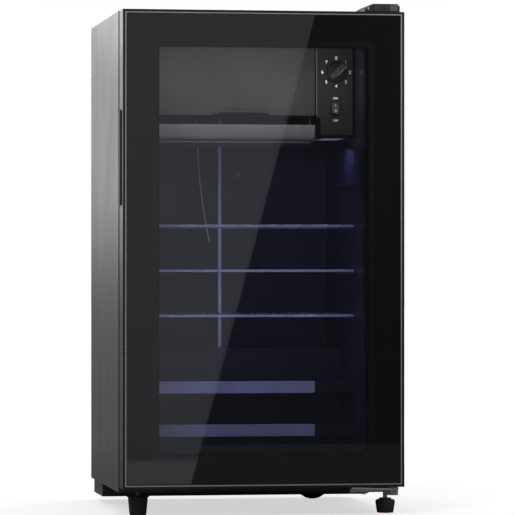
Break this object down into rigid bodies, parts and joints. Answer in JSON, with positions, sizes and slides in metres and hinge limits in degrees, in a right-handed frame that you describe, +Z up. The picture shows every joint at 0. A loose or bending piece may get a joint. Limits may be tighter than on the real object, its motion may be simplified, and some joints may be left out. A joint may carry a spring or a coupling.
{
  "type": "mini fridge",
  "caption": "Freestanding compact fridge with a glazed hinged door, freezer flap, chiller tray, sliding racks, dial thermostat and rear condenser.",
  "frame": {"origin": "centre of the whole fridge's footprint, on the floor that the feet stand on", "axes": "+Z up; +X to the right seen from the front; the door faces -Y"},
  "size_m": [0.445, 0.48, 0.8044],
  "materials": {
    "shell": "dark grey brushed-look coated steel, satin",
    "black_steel": "black coated steel, satin",
    "foam": null,
    "liner": "dark moulded plastic, semi-gloss",
    "zinc": "zinc-plated steel, satin",
    "dark_plastic": "dark grey moulded plastic, fine grain",
    "black_plastic": "black moulded plastic, fine grain",
    "white_plastic": "off-white acetal, smooth",
    "foot_plastic": "black moulded plastic, matte",
    "compressor_paint": "black enamel, gloss",
    "rubber": "black rubber, matte",
    "condenser_paint": "black dipped paint, semi-gloss",
    "copper": "copper tube, slightly tarnished",
    "evaporator": "plain aluminium, dull",
    "grey_plastic": "grey moulded plastic, fine grain",
    "tray_plastic": "mid-grey moulded plastic, satin",
    "rocker_plastic": "black plastic, semi-gloss",
    "lamp": "frosted lamp lens",
    "rack_wire": "coated wire, semi-gloss",
    "shelf_glass": "clear tempered glass, polished edges",
    "bar_plastic": "grey moulded plastic, satin",
    "door_black": "black moulded plastic, gloss",
    "trim": "bright satin metal line",
    "door_glass": "tempered glass with a dark printed border",
    "clear_glass": "clear glass",
    "spacer": "black spacer bar, matte"
  },
  "bodies": {
    "cabinet": {"outer_shell": "shell", "bottom_pan": "black_steel", "back_panel": "black_steel", "insulation_foam": "foam", "inner_liner": "liner", "drain_channel": "liner", "top_hinge": "zinc", "top_hinge_cover": "dark_plastic", "top_hinge_screws": "zinc", "bottom_hinge": "zinc", "bottom_hinge_pin": "zinc", "hinge_washer": "white_plastic", "bottom_hinge_screws": "zinc", "hinge_hole_plugs": "black_plastic", "base_plate": "black_steel", "rear_feet": "foot_plastic", "compressor": "compressor_paint", "compressor_mounts": "rubber", "terminal_box": "black_plastic", "cord_gland": "black_plastic", "evaporation_pan": "dark_plastic", "drain_tube": "black_plastic", "condenser_coil": "condenser_paint", "condenser_wires": "condenser_paint", "condenser_brackets": "black_plastic", "filter_drier": "copper", "discharge_line": "copper", "suction_line": "copper", "evaporator_box": "evaporator", "freezer_frame": "grey_plastic", "freezer_pins": "zinc", "tray_rails": "dark_plastic", "control_box": "dark_plastic", "thermostat_body": "zinc", "sensor_capillary": "zinc", "light_switch": "black_plastic", "led_lamp": "lamp", "glass_shelf": "shelf_glass", "glass_shelf_trim": "bar_plastic", "guard_rail": "bar_plastic"},
    "door": {"door_frame": "door_black", "door_trim": "trim", "outer_glass": "door_glass", "inner_glass": "clear_glass", "glass_spacer": "spacer", "gasket": "rubber", "handle_insert": "black_plastic", "hinge_bushes": "white_plastic"},
    "freezer_flap": {"freezer_door": "grey_plastic"},
    "tray": {"chiller_tray": "tray_plastic"},
    "upper_rack": {"rack_upper": "rack_wire"},
    "middle_rack": {"rack_middle": "rack_wire"},
    "lower_rack": {"rack_lower": "rack_wire"},
    "knob": {"thermostat_knob": "black_plastic", "thermostat_shaft": "zinc"},
    "rocker": {"light_switch_rocker": "rocker_plastic"},
    "left_foot": {"front_foot_left": "foot_plastic", "foot_stud_left": "zinc"},
    "right_foot": {"front_foot_right": "foot_plastic", "foot_stud_right": "zinc"}
  },
  "joints": [
    {"name": "door_hinge", "type": "hinge", "parent": "cabinet", "child": "door", "pos_m": [0.208, -0.217, 0.4], "axis": [0, 0, 1], "range_deg": [0, 120]},
    {"name": "freezer_flap_hinge", "type": "hinge", "parent": "cabinet", "child": "freezer_flap", "pos_m": [-0.0312, -0.084, 0.731], "axis": [-1, 0, 0], "range_deg": [0, 85]},
    {"name": "chiller_tray_slide", "type": "slide", "parent": "cabinet", "child": "tray", "axis": [0, -1, 0], "range_m": [0, 0.09]},
    {"name": "upper_rack_slide", "type": "slide", "parent": "cabinet", "child": "upper_rack", "axis": [0, -1, 0], "range_m": [0, 0.09]},
    {"name": "middle_rack_slide", "type": "slide", "parent": "cabinet", "child": "middle_rack", "axis": [0, -1, 0], "range_m": [0, 0.09]},
    {"name": "lower_rack_slide", "type": "slide", "parent": "cabinet", "child": "lower_rack", "axis": [0, -1, 0], "range_m": [0, 0.09]},
    {"name": "thermostat_turn", "type": "hinge", "parent": "cabinet", "child": "knob", "pos_m": [0.1406, -0.09, 0.704], "axis": [0, 1, 0], "range_deg": [-45, 270]},
    {"name": "light_rocker", "type": "hinge", "parent": "cabinet", "child": "rocker", "pos_m": [0.1396, -0.086, 0.645], "axis": [1, 0, 0], "range_deg": [0, 18]},
    {"name": "left_foot_screw", "type": "hinge", "parent": "cabinet", "child": "left_foot", "pos_m": [-0.19, -0.166, 0.02], "axis": [0, 0, 1], "range_deg": [-90, 90]},
    {"name": "right_foot_screw", "type": "hinge", "parent": "cabinet", "child": "right_foot", "pos_m": [0.206, -0.166, 0.02], "axis": [0, 0, 1], "range_deg": [-90, 90]}
  ]
}
